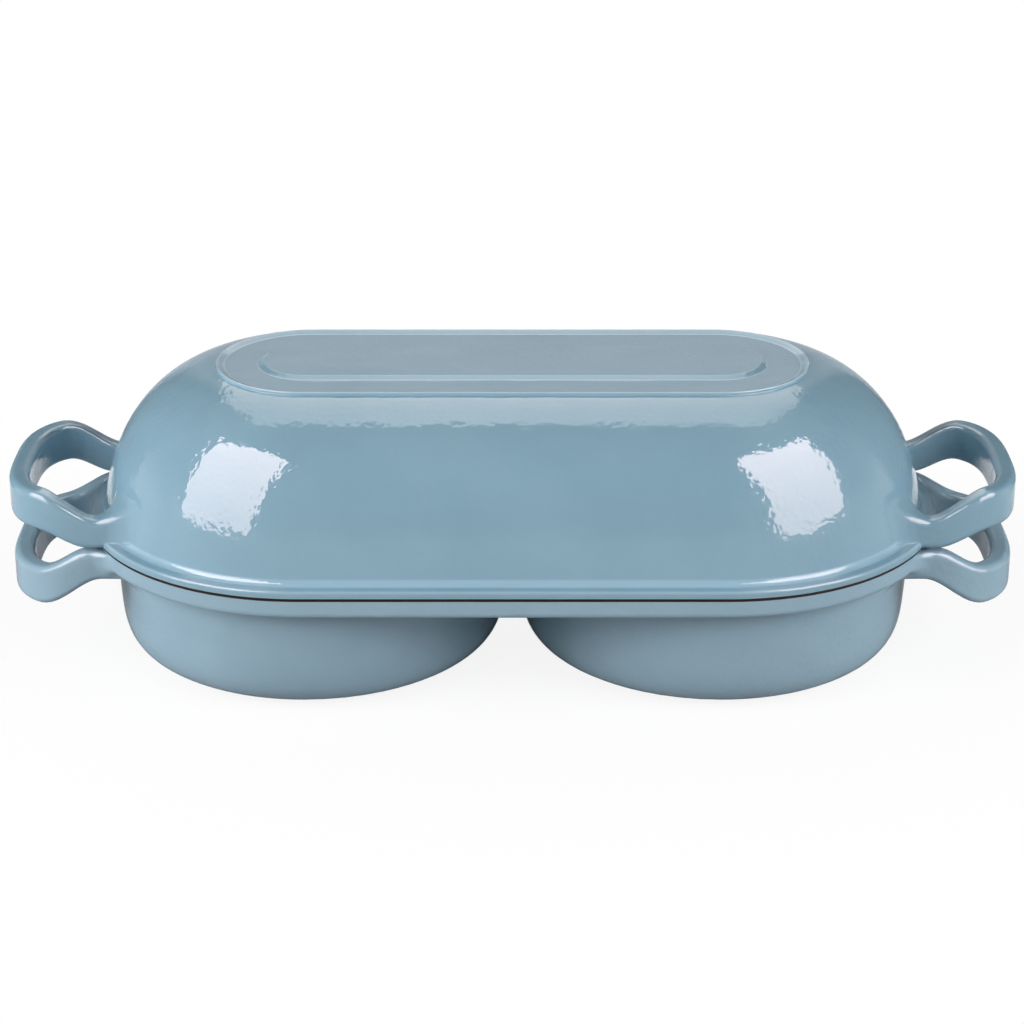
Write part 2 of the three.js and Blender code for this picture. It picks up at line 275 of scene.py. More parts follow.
# %% [markdown]
# ## How a handle grows out of a wall
#
# On a real casting nothing meets at a sharp inner corner: sand would break off there, and the iron
# would crack. So an arm spreads like a trumpet before it reaches the wall, sideways and away from
# the seam. A Bevel modifier can't round a corner between two curved skins. Here the arm's own
# surface does it: we measure how far a point is from the wall, and the nearer it is, the wider the
# arm gets there, along a quarter of a circle that ends level with the wall.

# %% How a handle grows out of a wall
def distance_to_outline(across, up, line):
    """Distance from points to a line of short pieces, positive on its left: for each piece, drop a
    perpendicular, hold its foot between the piece's ends, and keep the nearest."""
    start, step = line[:-1], np.diff(line, axis=0)
    dx, dy = across[:, None] - start[:, 0], up[:, None] - start[:, 1]
    t = np.clip((dx * step[:, 0] + dy * step[:, 1]) / (step**2).sum(1), 0, 1)
    away = np.hypot(dx - t * step[:, 0], dy - t * step[:, 1])
    near = away.argmin(1)
    pick = np.arange(len(across))
    side = step[near, 0] * dy[pick, near] - step[near, 1] * dx[pick, near]
    return np.where(side < 0, -1, 1) * away[pick, near]


def flare(away, radius):
    """How far a hollow round has spread at a distance away from the wall: radius times
    1 - sqrt(1 - s^2), where s is 1 at the wall and 0 from one radius on."""
    s = np.clip(1 - away / radius, 0, 1)
    return radius * (1 - np.sqrt(1 - s**2))


def ease(t):
    """0 below 0, 1 above 1 and 3t^2 - 2t^3 between."""
    t = np.clip(t, 0, 1)
    return t * t * (3 - 2 * t)


spread = flare(np.array([8.0, 4.0, 0.0]), 8.0)
print("an 8 mm flare, 8, 4 and 0 mm from the wall:", spread.round(2))

# %% [markdown]
# ## The strap of a loop
#
# Each loop is an upright strap with rounded edges. Near the seam the strap starts level with the
# rim. Further out, both of its edges sweep away from the seam, the nearer one a little later, which
# gives the gap for the fingers. A bevelled curve would give a strap of one height only, so the
# section is worked out for each place.

# %% The strap of a loop
STRAP_HEIGHT, STRAP_ROUND = 20.2, 3.4
HANDLE_REACH, HANDLE_SWEEP, HANDLE_SAG = 38, 31, 6
RIM_CROSSING = SPINE + np.sqrt(RIM_RADIUS**2 - ARM**2)

lid_strap = dict(seam_edge=0.4, away=1, arm_height=14.9, sweep=8.8, side_flare=8, far_flare=14)
pan_strap = dict(seam_edge=68.0, away=-1, arm_height=15.3, sweep=10.2, side_flare=7, far_flare=6)


def strap_edges(x, strap, tall=0):
    """Lower and upper edge of the strap at a distance along X: the edge nearer the seam eases from
    0 to sweep, the further one from arm height, plus tall, to sweep plus strap height."""
    out = x - RIM_CROSSING
    near = strap["sweep"] * ease((out - HANDLE_SAG) / (HANDLE_SWEEP - HANDLE_SAG))
    full = strap["sweep"] + STRAP_HEIGHT
    far = strap["arm_height"] + (full - strap["arm_height"]) * ease(out / HANDLE_SWEEP) + tall
    a, b = strap["seam_edge"] + strap["away"] * near, strap["seam_edge"] + strap["away"] * far
    return np.minimum(a, b), np.maximum(a, b)


def strap_ring(flat=13, edge=6, bend=8):
    """Once round the section, as four numbers for each point: which corner centre it belongs to
    (-1 to 1 across and up) and its direction from there, the (cos, sin) of an angle."""
    angle = np.radians(np.linspace(0, 90, bend))
    side, top = np.linspace(-1, 1, flat + 2)[1:-1], np.linspace(1, -1, edge + 2)[1:-1]
    ring = []
    for quarter, (right, up) in enumerate([(1, 1), (-1, 1), (-1, -1), (1, -1)]):
        a = angle + quarter * np.pi / 2
        ring.append([np.full(bend, right), np.full(bend, up), np.cos(a), np.sin(a)])
        if quarter % 2 == 0:
            ring.append([right * top, 0 * top + up, 0 * top, 0 * top + up])
        else:
            ring.append([0 * side + right, side * -up, 0 * side + right, 0 * side])
    return np.concatenate([np.array(part, float) for part in ring], axis=1)


ring = strap_ring()
print("strap section:", ring.shape[1], "points; rim crossed at", round(RIM_CROSSING, 1), "mm")

# %% [markdown]
# ## The hairpin that the strap follows
#
# Seen from above, a loop is a hairpin: out along one arm, round the end, and back along the other.
# Two arcs and straight lines would do, but the gloss would show where an arc begins. The end here
# is a superellipse, which bends all the way round and so shows no flats.

# %% The hairpin that the strap follows
LOOP_END = SPINE + RIM_RADIUS + HANDLE_REACH - STRAP_THICKNESS / 2
ARM_START, BEND_START, BEND_POWER, ROW_GAP = 214.0, 212.0, 3.0, 2.4


def hairpin():
    """Half of the middle line in plan, from an arm to the middle of the end: |u|^n + |v|^n = 1,
    with u = cos(a)^(2/n) along and v = sin(a)^(2/n) across. Gives points and ways outwards."""
    a = np.linspace(-np.pi / 2, 0, 4000)
    u, v = np.cos(a).clip(0) ** (2 / BEND_POWER), np.abs(np.sin(a)) ** (2 / BEND_POWER)
    line = np.stack([BEND_START + (LOOP_END - BEND_START) * u, -ARM * v], axis=-1)
    line = np.concatenate([[(ARM_START, -ARM)], line[line[:, 0] > ARM_START + 0.5]])
    line = respaced(line, np.full(len(line), ROW_GAP))
    return line, -left_of(line)


def on_strap(x, y, out_x, out_y, strap, wide=0, tall=0):
    """Point of the strap: the middle line plus the section's reach across, at the section's height,
    with wide more on each side and tall more on the edge away from the seam."""
    side, level, cross, rise = ring
    low, high = strap_edges(x, strap, tall)
    reach = side * (STRAP_THICKNESS / 2 + wide - STRAP_ROUND) + STRAP_ROUND * cross
    up = (low + high) / 2 + level * ((high - low) / 2 - STRAP_ROUND) + STRAP_ROUND * rise
    return np.stack(np.broadcast_arrays(x + out_x * reach, y + out_y * reach, up), axis=-1)


print("hairpin:", len(hairpin()[0]), "rows from an arm to the middle of the end")

# %% [markdown]
# ## The root of an arm
#
# The rows at the root are special. Each lies at one distance from the wall and is spread by the
# flares for that distance. The last ones are inside the iron, where they never show. The distance
# has no simple inverse, so the place of each row is found by halving.

# %% The root of an arm
SUNK, PLUG = 0.04, 2.0
ROOT_ROWS, ROOT_INNER, HALVINGS, PLUG_STEPS = 30, 160.0, 34, 20


def arm_root(strap, wall_distance):
    """Rows of an arm from inside the wall to where it runs straight. Along each line the distance
    from the wall is end * (1 - sin a), with a going from a quarter turn to 0, and the first row is
    a plug deeper."""
    def at(x, wide, tall):
        """The arm's point at a distance along X."""
        return on_strap(x, -ARM, 0, -1, strap, wide, tall)

    def depth(place):
        """Distance from the wall for a grid of points."""
        return wall_distance(place.reshape(-1, 3)).reshape(place.shape[:-1])

    end = depth(at(np.full((1, ring.shape[1]), ARM_START), 0, 0))
    a = np.linspace(np.pi / 2, 0, ROOT_ROWS + 1)[:-1, None]
    away = end * (1 - np.sin(a))
    goal = np.concatenate([away[:1] - PLUG, away - SUNK * np.sin(a)])
    away = np.concatenate([away[:1], away])
    wide, tall = flare(away, strap["side_flare"]), flare(away, strap["far_flare"])
    low, high = np.full(goal.shape, ROOT_INNER), np.full(goal.shape, ARM_START)
    for _ in range(HALVINGS):
        middle = (low + high) / 2
        deep = depth(at(middle, wide, tall)) < goal
        low, high = np.where(deep, middle, low), np.where(deep, high, middle)
    return at(low, wide, tall)


def loop_surface(strap, wall_distance):
    """The whole hairpin: a plug point, the root and the rest of one half, then the mirror image of
    that. The plug point is the middle of the first row, drawn in to the same depth."""
    line, out = hairpin()
    x, y, out_x, out_y = line[:, :1], line[:, 1:], out[:, :1], out[:, 1:]
    root = arm_root(strap, wall_distance)
    plug = root[0].mean(0)
    for _ in range(PLUG_STEPS):
        plug[0] -= (wall_distance(plug[None])[0] + PLUG) / 2
    plug = np.broadcast_to(plug, (1, ring.shape[1], 3))
    half = np.concatenate([plug, root, on_strap(x, y, out_x, out_y, strap)])
    return np.concatenate([half, (half * [1, -1, 1])[-2::-1]])


def pair_of_loops(name, loop):
    """A mesh of the loop at the +X end and its mirror image at the other."""
    return casting_mesh(name, [(loop, False, True), (loop * [-1, 1, 1], False, True)])


print("root:", ROOT_ROWS + 1, "rows, found to", (ARM_START - ROOT_INNER) / 2**HALVINGS, "mm")

# %% [markdown]
# ## Casting the lid in one piece
#
# The lid's wall and its two loops are closed skins that overlap. They could stay so, but faces
# would be left inside the iron. A Boolean modifier joins them to one, as iron runs together in the
# mould. The flares end level with the dome, so that joint shows no crease. The rim is too low for
# them, and there smooth shading makes the corner look like the hollow that glaze leaves.

# %% Casting the lid in one piece
LID_LAND = 69.3
DOME_PART, WALL_BELOW = 60, 40


def lid_wall_distance(place):
    """Distance to the dome. In plan it is measured from the spine between the two centres; below
    the dome's foot the wall goes on with the same draft, as if there were no rim."""
    across = np.hypot(np.maximum(np.abs(place[:, 0]) - SPINE, 0), place[:, 1])
    below = foot - WALL_BELOW * leaning(-DOME_DRAFT)
    wall = np.concatenate([dome[dome[:, 1] < DOME_PART], [below]])
    return distance_to_outline(across, place[:, 2], wall)


def read_vectors(collection, key):
    """Three numbers for each member of a mesh's collection, as rows of an array."""
    values = np.empty(len(collection) * 3, np.float32)
    collection.foreach_get(key, values)
    return values.reshape(-1, 3)


def cast_together(name, body, limbs, lift):
    """One closed skin from a body and its limbs: their union, with lift added to its heights."""
    union = body.modifiers.new("cast", "BOOLEAN")
    union.operation, union.solver, union.object = "UNION", "MANIFOLD", limbs
    ready = body.evaluated_get(bpy.context.evaluated_depsgraph_get())
    mesh = bpy.data.meshes.new_from_object(ready)
    mesh.name = name
    mesh.materials.clear()
    for used in (body, limbs):
        bpy.data.objects.remove(used)
    place = read_vectors(mesh.vertices, "co")
    place[:, 2] += lift * MM
    mesh.vertices.foreach_set("co", place.ravel())
    mesh.polygons.foreach_set("use_smooth", np.ones(len(mesh.polygons), bool))
    mesh.update()
    mesh.calc_loop_triangles()
    print(name, "is one skin of", len(mesh.loop_triangles), "triangles")
    return placed(name, mesh)


lid_loop = loop_surface(lid_strap, lid_wall_distance)
lid_shell = casting_mesh("lid_shell", [(lid_grid, True, False)])
lid_loops = pair_of_loops("lid_loops", lid_loop)
lid = cast_together("lid_casting", lid_shell, lid_loops, LID_LAND)

# %% [markdown]
# ## The pan's outlines
#
# A well is turned: a flat patch that it stands on, a generous bend, a wall with draft, and a fillet
# into the flange. Its inside is the same curve one wall thickness in, with a rounded brow. The
# flange carries the land that the lid rests on. Inside the land is a sunk deck, the web that joins
# the wells. A Spin would turn a well in one step. As an array, the outline also tells the arms how
# far away the wall is.

# %% The pan's outlines
PAN_HEIGHT, FLANGE_THICKNESS, FLANGE_ROUND, FLANGE_FILLET = 69.0, 10, 3, 5
WELL_RADIUS, WELL_DRAFT, WELL_FLOOR_RADIUS = 102, 10.7, 66
WELL_WALL_PULL, WELL_FLOOR_PULL, WELL_BROW = 36, 42, 4
LID_OVERHANG, LAND_WIDTH, LAND_ROUND, RECESS_ROUND = 0.8, 6.7, 0.7, 1.4
BOWL_HIGH, BOWL_GAP_HIGH, BOWL_GAP = 40, 1.0, 2.2
FLOOR_RING, FLOOR_STRIP, DECK_STRIP, UNDER_STRIP = 0.6, 3, 1.8, 0.6
FLANGE_RADIUS = RIM_RADIUS - LID_OVERHANG
RECESS_RADIUS = FLANGE_RADIUS - LAND_WIDTH
UNDERSIDE = PAN_HEIGHT - FLANGE_THICKNESS
DECK = UNDERSIDE + WALL


def roll_start(level, radius):
    """Height where a well's wall ends and a round into a level face begins: the level minus radius
    times 1 - sin of the draft."""
    return level - radius * (1 - np.sin(np.radians(WELL_DRAFT)))


def rolled_out(wall, level, radius, steps):
    """The round that takes a well's wall over into a level face, touching both: its centre is a
    radius under the face, and radius times the cosine of the draft outside the wall."""
    centre = (wall + radius * np.cos(np.radians(WELL_DRAFT)), level - radius)
    return round_arc(centre, radius, 180 - WELL_DRAFT, 90, steps)


wall_top = np.array([WELL_RADIUS, roll_start(UNDERSIDE, FLANGE_FILLET)])
bowl = cubic(np.array([WELL_FLOOR_RADIUS, 0.0]),
             np.array([WELL_FLOOR_RADIUS + WELL_FLOOR_PULL, 0.0]),
             wall_top - WELL_WALL_PULL * leaning(WELL_DRAFT), wall_top)
bowl_inside = bowl + WALL * left_of(bowl)
bowl = respaced(bowl, np.where(bowl[:, 1] > BOWL_HIGH, BOWL_GAP_HIGH, BOWL_GAP))
bowl_inside = respaced(bowl_inside, np.full(len(bowl_inside), INSIDE_GAP))
climb = (roll_start(DECK, WELL_BROW) - bowl_inside[-1, 1]) / np.cos(np.radians(WELL_DRAFT))
mouth = bowl_inside[-1] + leaning(WELL_DRAFT) * climb
brow = rolled_out(mouth[0], DECK, WELL_BROW, 8)
flange_hollow = rolled_out(WELL_RADIUS, UNDERSIDE, FLANGE_FILLET, 10)
well_out = np.concatenate([
    [(0, 0), (WELL_FLOOR_RADIUS * FLOOR_RING, 0), (WELL_FLOOR_RADIUS - FLOOR_STRIP, 0)],
    bowl[:-1], flange_hollow])
well_in = np.concatenate([[(0, WALL), (bowl_inside[0, 0] * FLOOR_RING, WALL)], bowl_inside, brow])
band = softened(
    [(RECESS_RADIUS - DECK_STRIP, DECK), (RECESS_RADIUS, DECK), (RECESS_RADIUS, PAN_HEIGHT),
     (FLANGE_RADIUS, PAN_HEIGHT), (FLANGE_RADIUS, UNDERSIDE),
     (FLANGE_RADIUS - FLANGE_ROUND - UNDER_STRIP, UNDERSIDE)],
    [RECESS_ROUND, LAND_ROUND, SEAM_EDGE, FLANGE_ROUND], steps=6)
print("well outside and inside:", len(well_out), "and", len(well_in), "points; band:", len(band))

# %% [markdown]
# ## Half a pan, and its mirror image
#
# The band round the edge is swept along the oval like the lid. The deck and the well's two sides
# are grids round the well's centre. A Boolean could join them, but they meet without one if all
# share their edges. So each uses the same stations: those of the oval, and some along the middle
# line where the halves meet. There the outside of a well is cut short by its neighbour.

# %% Half a pan, and its mirror image
PAN_TURN, PAN_RUN_STEPS, MIDDLE_STEPS, SHEET_STEPS = 3.2, 8, 61, 3
FACING, NEVER = 0.01, 1e9

pan_turn = half_turn(PAN_TURN)
pan_run = np.linspace(0, SPINE, PAN_RUN_STEPS + 1)[:-1]
half_stations = (np.concatenate([pan_run, np.full(len(pan_turn), SPINE), pan_run[::-1]]),
                 np.concatenate([0 * pan_run, np.cos(pan_turn), 0 * pan_run]),
                 np.concatenate([0 * pan_run - 1, np.sin(pan_turn), 0 * pan_run + 1]))


def round_the_well(edge):
    """The closed line round one well: the stations of the half oval at a distance edge from the
    spine, then along the middle line by the cosine of even angles. Returns angle and distance seen
    from the well's centre."""
    middle, out_x, out_y = half_stations
    x, y = middle + edge * out_x, edge * out_y
    along = edge * np.cos(np.linspace(0, np.pi, MIDDLE_STEPS + 1)[1:-1])
    x, y = np.concatenate([x, 0 * along]), np.concatenate([y, along])
    return np.arctan2(y, x - SPINE), np.hypot(x - SPINE, y)


def about_well(angle, distance, up):
    """Well's centre plus distance times (cos, sin) of the angle, at a height."""
    return np.stack(np.broadcast_arrays(
        SPINE + distance * np.cos(angle), distance * np.sin(angle), up), axis=-1)


def annulus(angle, inner, outer, up):
    """A level sheet between two closed lines round the well, mixed in equal steps."""
    t = np.linspace(0, 1, SHEET_STEPS + 1)
    return about_well(angle[:, None], inner[:, None] * (1 - t) + outer[:, None] * t, up)


deck_angle, deck_edge = round_the_well(band[0, 0])
deck = annulus(deck_angle, np.full(len(deck_angle), brow[-1, 0]), deck_edge, DECK)
inside = about_well(deck_angle[:, None], well_in[:, 0], well_in[:, 1])

under_angle, under_edge = round_the_well(band[-1, 0])
toward = np.cos(under_angle)
to_middle = np.where(toward < -FACING, SPINE / np.abs(toward + 1e-12), NEVER)
cut = np.minimum(well_out[:, 0], to_middle[:, None])
height = np.where(cut < well_out[:, 0], np.interp(cut, *flange_hollow.T), well_out[:, 1])
outside = about_well(under_angle[:, None], cut, height)
under_inner = cut[:, -1]
blocked = to_middle < well_out[-1, 0]
under = annulus(under_angle, under_inner, np.where(blocked, under_inner, under_edge), UNDERSIDE)
under[blocked, :, 2] = height[blocked, -1:]
band_grid = sweep_oval(band, half_stations)
half_grids = [(deck, True, False), (inside, True, False), (outside, True, False),
              (under, True, False), (band_grid, False, False)]
print("half pan:", sum(grid.shape[0] * grid.shape[1] for grid, *_ in half_grids), "points")

# %% [markdown]
# ## Casting the pan in one piece
#
# The pan's arms meet the flange and the wall of the well under it. Both are one outline here, so
# the same flares follow the step from one to the other. The joint is made as it was on the lid.

# %% Casting the pan in one piece
WELL_PART, WALL_ABOVE, FACE_TOP, HAIR = 20, 140, 2, 0.01


def pan_wall_distance(place):
    """Distance to the pan's outside, measured from the centre of the nearer well; above the
    flange's face the wall goes on straight up."""
    across = np.hypot(np.abs(place[:, 0]) - SPINE, place[:, 1])
    on_face = band[:, 0] > FLANGE_RADIUS - FLANGE_ROUND - UNDER_STRIP - HAIR
    face = band[on_face & (band[:, 1] < PAN_HEIGHT - FACE_TOP)][::-1]
    above = [(FLANGE_RADIUS, WALL_ABOVE)]
    wall = np.concatenate([well_out[well_out[:, 1] > WELL_PART], face, above])
    return -distance_to_outline(across, place[:, 2], wall)


mirror = [(grid * [-1, 1, 1], rows, columns) for grid, rows, columns in half_grids]
pan_shell = casting_mesh("pan_shell", half_grids + mirror)
pan_loop = loop_surface(pan_strap, pan_wall_distance)
pan_loops = pair_of_loops("pan_loops", pan_loop)
pan = cast_together("pan_casting", pan_shell, pan_loops, 0)

# %% [markdown]
# ## Where the coat is thick, thin or missing, and where a highlight is painted
#
# Glaze runs before it sets: it thins on sharp edges and gathers in hollows. To let the material
# show that, each vertex carries a number: how sharply the skin bends there. The hollows also get a
# painted highlight from the same number. A corner tighter than about 3 mm holds no pool, so there
# it is 0. It could be painted by hand, but paint is lost at the next change of shape. And three
# finishes
# share the skin: the coloured outside, a pale inside, and the lands, where the iron stays bare.

# %% Where the coat is thick, thin or missing, and where a highlight is painted
TIGHT = -0.3


def bending(mesh):
    """For each edge, the turn of the normal along it divided by its length, averaged at its
    vertices: positive on outer edges, negative in hollows, in 1/mm."""
    place = read_vectors(mesh.vertices, "co") / MM
    normal = read_vectors(mesh.vertex_normals, "vector")
    ends = np.empty(len(mesh.edges) * 2, np.int32)
    mesh.edges.foreach_get("vertices", ends)
    a, b = ends.reshape(-1, 2).T
    step = place[b] - place[a]
    bent = ((normal[b] - normal[a]) * step).sum(1) / np.maximum((step**2).sum(1), 0.01)
    total, number = np.zeros(len(place)), np.zeros(len(place))
    for end in (a, b):
        np.add.at(total, end, bent)
        np.add.at(number, end, 1)
    return total / np.maximum(number, 1)


def mark_finishes(piece, inside_of, land_of):
    """Store the bending, with 0 for bends tighter than TIGHT, and give each face its finish: 0
    outside, 1 inside, 2 bare iron. Across is the distance from the spine in plan."""
    mesh = piece.data
    bent = bending(mesh)
    bend = mesh.attributes.new("bend", "FLOAT", "POINT")
    bend.data.foreach_set("value", np.where(bent < TIGHT, 0, bent).astype(np.float32))
    middle = read_vectors(mesh.polygons, "center") / MM
    across = np.hypot(np.maximum(np.abs(middle[:, 0]) - SPINE, 0), middle[:, 1])
    finish = np.where(land_of(across, middle), 2, np.where(inside_of(across, middle), 1, 0))
    mesh.polygons.foreach_set("material_index", finish.astype(np.int32))
    print(piece.name, "faces outside, inside and bare:", np.bincount(finish, minlength=3))


print("sharpest hollow of the lid, in 1/mm:", bending(lid.data).min().round(2))

# %% [markdown]
# ## Which faces are inside, and which are bare
#
# The finish of a face follows from where its middle is: how far from the spine, how high, and how
# deep behind the coloured skin. Faces could be picked by hand, but a rule still holds when the
# grids get finer. Each limit lies a little beyond the edge that it stands for.

# %% Which faces are inside, and which are bare
SKIN_DEPTH, LAND_BAND, EDGE_SLACK = 2, 0.7, 0.02
LIP_INSIDE, LIP_OUTSIDE, LIP_UNDER = 0.5, 1, 1
RECESS_INSIDE, RECESS_LAND, DECK_UNDER = 0.3, 0.2, 2.5


def lid_inside(across, middle):
    """More than SKIN_DEPTH behind the coloured skin, and no further out than the lip."""
    deep = distance_to_outline(across, middle[:, 2] - LID_LAND, lid_skin[::3])
    return (deep < -SKIN_DEPTH) & (across < LIP_RADIUS + LIP_INSIDE)


def lid_land(across, middle):
    """From the lip's side to the rim, between the lip's foot and LAND_BAND above the land."""
    up = middle[:, 2] - LID_LAND
    in_height = (up < LAND_BAND) & (up > -LIP_DEPTH - LIP_UNDER)
    return in_height & (across < RIM_RADIUS + EDGE_SLACK) & (across > LIP_RADIUS - LIP_OUTSIDE)


def pan_inside(across, middle):
    """Within the recess, and either near or above the deck, or more than SKIN_DEPTH inside the
    bowl's outside."""
    about, up = np.hypot(np.abs(middle[:, 0]) - SPINE, middle[:, 1]), middle[:, 2]
    in_well = (about < np.interp(up, bowl[:, 1], bowl[:, 0]) - SKIN_DEPTH) & (up > SKIN_DEPTH)
    return (across < RECESS_RADIUS + RECESS_INSIDE) & ((up > DECK - DECK_UNDER) | in_well)


def pan_land(across, middle):
    """Between the recess and the flange's edge, no more than LAND_BAND under the land."""
    in_ring = (across > RECESS_RADIUS + RECESS_LAND) & (across < FLANGE_RADIUS + EDGE_SLACK)
    return (middle[:, 2] > PAN_HEIGHT - LAND_BAND) & in_ring


mark_finishes(lid, lid_inside, lid_land)
mark_finishes(pan, pan_inside, pan_land)

# %% [markdown]
# ## Nodes for the materials
#
# A finish in Blender is a tree of nodes: some measure a place, some make a pattern, and the last is
# the shader. We could wire it in the editor. Written down, the same few steps come again and again,
# so a small class does them, for a lamp and the room too.

# %% Nodes for the materials
class Wiring:
    """Adds nodes to one node tree and links them."""

    def __init__(self, tree):
        """Keep the tree and the function that links an output to an input."""
        self.tree, self.link = tree, tree.links.new

    def add(self, kind, **settings):
        """A new node. A setting goes to the socket of that name or, with none, to the node."""
        node = self.tree.nodes.new("ShaderNode" + kind)
        for key, value in settings.items():
            if key in node.inputs:
                node.inputs[key].default_value = value
            else:
                setattr(node, key, value)
        return node

    def feed(self, socket, value):
        """Link an output to the socket, or else set a plain value on it."""
        if isinstance(value, bpy.types.NodeSocket):
            self.link(value, socket)
        else:
            socket.default_value = value

    def ramp(self, source, limits=(0, 1), levels=(0, 1), **settings):
        """levels[0] where the source is at limits[0], levels[1] where it is at limits[1], and
        between them in proportion; held at both ends."""
        node = self.add("MapRange", **settings)
        for key, value in zip(("From Min", "From Max", "To Min", "To Max"), (*limits, *levels)):
            self.feed(node.inputs[key], value)
        self.link(source, node.inputs["Value"])
        return node.outputs["Result"]

    def maths(self, operation, *values):
        """One operation on up to three values, each a number or an output."""
        node = self.add("Math", operation=operation)
        for socket, value in zip(node.inputs, values):
            self.feed(socket, value)
        return node.outputs[0]

    def blend(self, share, a, b):
        """Colour a times 1 - share plus colour b times share."""
        node = self.add("Mix", data_type="RGBA")
        self.link(share, node.inputs["Factor"])
        self.feed(node.inputs["A"], a)
        self.feed(node.inputs["B"], b)
        return node.outputs["Result"]

    def noise(self, scale, detail, roughness=0.5):
        """Soft noise from 0 to 1 in the object's own coordinates, with scale blots in a metre."""
        node = self.add("TexNoise", Scale=scale, Detail=detail, Roughness=roughness)
        self.link(self.add("TexCoord").outputs["Object"], node.inputs["Vector"])
        return node.outputs["Fac"]

    def bump(self, height, distance, strength=1.0, under=None):
        """The normal tipped by the slope of height times distance, on top of the one under it."""
        node = self.add("Bump", Strength=strength, Distance=distance)
        self.link(height, node.inputs["Height"])
        if under is not None:
            self.link(under, node.inputs["Normal"])
        return node.outputs["Normal"]


def finish_named(name):
    """A new material with its wiring and its Principled shader."""
    material = bpy.data.materials.new(name)
    material.use_nodes = True
    tree = material.node_tree
    return material, Wiring(tree), tree.nodes["Principled BSDF"]


print("the wiring can", ", ".join(key for key in vars(Wiring) if not key.startswith("_")))

# %% [markdown]
# ## The enamel
#
# Enamel is ground glass melted onto iron. Its colour sits just under a glossy surface that is never
# quite flat: fine dimples a few millimetres apart, called orange peel, make the edges of
# reflections ragged, and a slower wave under them comes from the casting. The colour is a little
# paler where the coat is thin on an edge. In a hollow it is paler too: partly glaze gathered there,
# partly a painted highlight for the light that the hollow catches. A wrapped image could show this,
# but noise in the object's own coordinates needs no unwrapping and has no seam.

# %% The enamel
# The pool bend sets where hollows turn paler: partly glaze gathered there, partly a painted
# highlight.
CLOUD, THIN_BEND, POOL_HIGHLIGHT_BEND = (0.35, 0.6), (0.15, 0.9), (-0.04, -0.14)
GLASS_IOR = 1.52


def glazed(name, colour, deep, thin, pooled_highlight, roughness, peel=(0.00018, 0.0005)):
    """Glossy enamel. A cloudy noise takes the colour from deep to colour, and the bending takes it
    on towards thin on edges and towards pooled_highlight in hollows: glaze gathered there plus a
    painted highlight. Roughness runs between its two values with a fine noise.
    The peel gives the heights of the dimples and of the wave under them, in metres."""
    material, wiring, shader = finish_named(name)
    tone = wiring.ramp(wiring.noise(14.0, 3.0, 0.55), CLOUD)
    tint = wiring.blend(tone, (*deep, 1), (*colour, 1))
    bend = wiring.add("Attribute", attribute_name="bend").outputs["Fac"]
    # Paler in hollows: a painted highlight over glaze gathered there.
    for limits, towards in ((THIN_BEND, thin), (POOL_HIGHLIGHT_BEND, pooled_highlight)):
        tint = wiring.blend(wiring.ramp(bend, limits), tint, (*towards, 1))
    gloss = wiring.ramp(wiring.noise(900.0, 2.0), levels=roughness)
    wave = wiring.bump(wiring.noise(62.0, 1.0, 0.3), peel[1])
    dimples = wiring.bump(wiring.noise(330.0, 1.5, 0.4), peel[0], under=wave)
    wiring.link(tint, shader.inputs["Base Color"])
    wiring.link(gloss, shader.inputs["Roughness"])
    wiring.link(dimples, shader.inputs["Normal"])
    shader.inputs["IOR"].default_value = GLASS_IOR
    return material


# Each pooled colour is paler than its coat: glaze gathered in hollows plus a painted highlight.
lid_enamel = glazed(
    "blue_enamel", colour=(0.197, 0.330, 0.411), deep=(0.179, 0.308, 0.389),
    thin=(0.33, 0.46, 0.54), pooled_highlight=(0.252, 0.398, 0.486), roughness=(0.03, 0.06))
# The pan's coat is greyer than the lid's and also set paler, which paints in light that the wells
# get from below.
pan_enamel_with_painted_light = glazed(
    "blue_grey_enamel_with_painted_light", colour=(0.243, 0.366, 0.445), deep=(0.223, 0.343, 0.422),
    thin=(0.34, 0.45, 0.52), pooled_highlight=(0.250, 0.388, 0.470), roughness=(0.04, 0.07))
pale_enamel = glazed(
    "pale_inside_enamel", colour=(0.70, 0.67, 0.60), deep=(0.64, 0.61, 0.54),
    thin=(0.55, 0.52, 0.46), pooled_highlight=(0.72, 0.69, 0.62),
    roughness=(0.14, 0.22), peel=(0.00015, 0.0004))
print("finishes:", lid_enamel.name, pan_enamel_with_painted_light.name, pale_enamel.name)

# %% [markdown]
# ## Bare iron
#
# The lands are left uncoated, because glass on glass would chip when the lid is set down. The iron
# there is ground, oiled and dark, with a brown cast where it has begun to rust. A metallic shader
# would mirror the room. Oiled iron hardly does, so this one is rough, dark and not metallic.

# %% Bare iron
IRON_BLACK, IRON_BROWN = (0.005, 0.0045, 0.0045), (0.022, 0.014, 0.010)
IRON_ROUGHNESS, IRON_SHEEN, PIT_DEPTH = (0.55, 0.85), 0.25, 0.00008


def bare_iron():
    """Dark iron: black and brown mixed by a noise, rough, with a grain of fine pits. The grain
    also moves the roughness."""
    material, wiring, shader = finish_named("bare_iron")
    patch, grain = wiring.noise(120.0, 5.0), wiring.noise(1600.0, 3.0)
    colour = wiring.blend(patch, (*IRON_BLACK, 1), (*IRON_BROWN, 1))
    wiring.link(colour, shader.inputs["Base Color"])
    wiring.link(wiring.ramp(grain, levels=IRON_ROUGHNESS), shader.inputs["Roughness"])
    wiring.link(wiring.bump(grain, PIT_DEPTH, strength=0.6), shader.inputs["Normal"])
    shader.inputs["Specular IOR Level"].default_value = IRON_SHEEN
    return material


iron = bare_iron()
for piece, body, coat in ((lid, "lid", lid_enamel), (pan, "pan", pan_enamel_with_painted_light)):
    for material in (coat, pale_enamel, iron):
        piece.data.materials.append(material)
    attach(piece, body)
    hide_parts(body)
print("castings dressed:", lid.name, pan.name)

